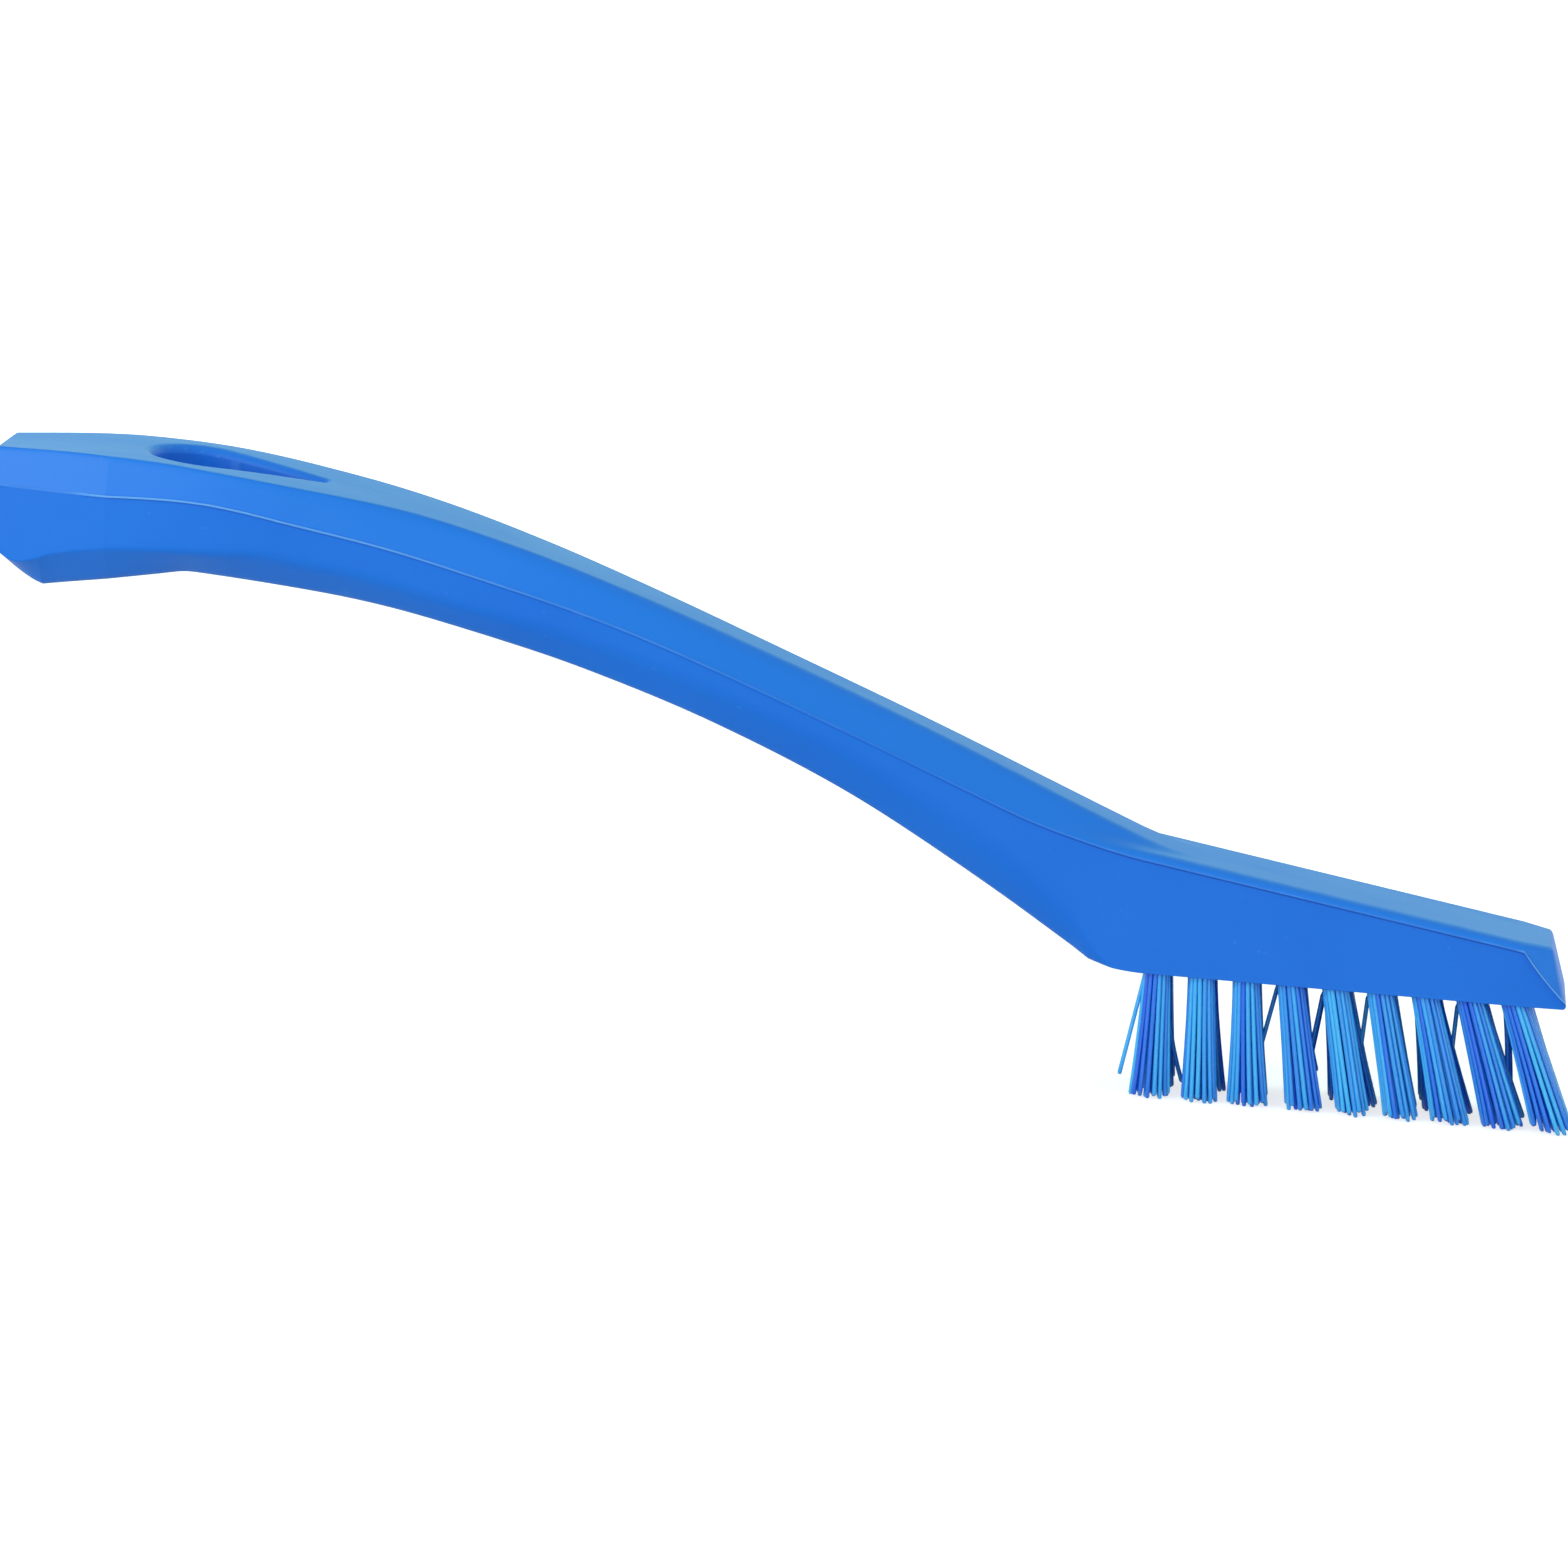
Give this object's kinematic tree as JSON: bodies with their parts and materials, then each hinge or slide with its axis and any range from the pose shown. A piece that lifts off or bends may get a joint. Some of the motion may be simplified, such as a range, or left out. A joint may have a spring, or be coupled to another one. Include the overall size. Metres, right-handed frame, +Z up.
{
  "type": "hand scrub brush",
  "caption": "Slim one-piece moulded hand brush with a curved faceted handle, teardrop hanging slot and a narrow head of short fanned bristle tufts.",
  "frame": {"origin": "on the ground under the middle of the bounding box, with the brush standing on its bristle tips", "axes": "+X from the butt of the handle to the head, +Y across the brush, +Z up, away from the bristle tips"},
  "size_m": [0.2064, 0.0232, 0.0716],
  "materials": {
    "moulded_plastic": "satin-gloss moulded polypropylene",
    "bristle_filament": "glossy extruded polyester filament",
    "anchor_steel": "plain drawn flat wire"
  },
  "bodies": {
    "root": {"handle_block": "moulded_plastic", "tuft_r1_c1": "bristle_filament", "tuft_r2_c1": "bristle_filament", "tuft_r3_c1": "bristle_filament", "tuft_r1_c2": "bristle_filament", "tuft_r2_c2": "bristle_filament", "tuft_r3_c2": "bristle_filament", "tuft_r1_c3": "bristle_filament", "tuft_r2_c3": "bristle_filament", "tuft_r3_c3": "bristle_filament", "tuft_r1_c4": "bristle_filament", "tuft_r2_c4": "bristle_filament", "tuft_r3_c4": "bristle_filament", "tuft_r1_c5": "bristle_filament", "tuft_r2_c5": "bristle_filament", "tuft_r3_c5": "bristle_filament", "tuft_r1_c6": "bristle_filament", "tuft_r2_c6": "bristle_filament", "tuft_r3_c6": "bristle_filament", "tuft_r1_c7": "bristle_filament", "tuft_r2_c7": "bristle_filament", "tuft_r3_c7": "bristle_filament", "tuft_r1_c8": "bristle_filament", "tuft_r2_c8": "bristle_filament", "tuft_r3_c8": "bristle_filament", "tuft_r1_c9": "bristle_filament", "tuft_r2_c9": "bristle_filament", "tuft_r3_c9": "bristle_filament", "anchor_r1_c1": "anchor_steel", "anchor_r2_c1": "anchor_steel", "anchor_r3_c1": "anchor_steel", "anchor_r1_c2": "anchor_steel", "anchor_r2_c2": "anchor_steel", "anchor_r3_c2": "anchor_steel", "anchor_r1_c3": "anchor_steel", "anchor_r2_c3": "anchor_steel", "anchor_r3_c3": "anchor_steel", "anchor_r1_c4": "anchor_steel", "anchor_r2_c4": "anchor_steel", "anchor_r3_c4": "anchor_steel", "anchor_r1_c5": "anchor_steel", "anchor_r2_c5": "anchor_steel", "anchor_r3_c5": "anchor_steel", "anchor_r1_c6": "anchor_steel", "anchor_r2_c6": "anchor_steel", "anchor_r3_c6": "anchor_steel", "anchor_r1_c7": "anchor_steel", "anchor_r2_c7": "anchor_steel", "anchor_r3_c7": "anchor_steel", "anchor_r1_c8": "anchor_steel", "anchor_r2_c8": "anchor_steel", "anchor_r3_c8": "anchor_steel", "anchor_r1_c9": "anchor_steel", "anchor_r2_c9": "anchor_steel", "anchor_r3_c9": "anchor_steel"}
  },
  "joints": []
}
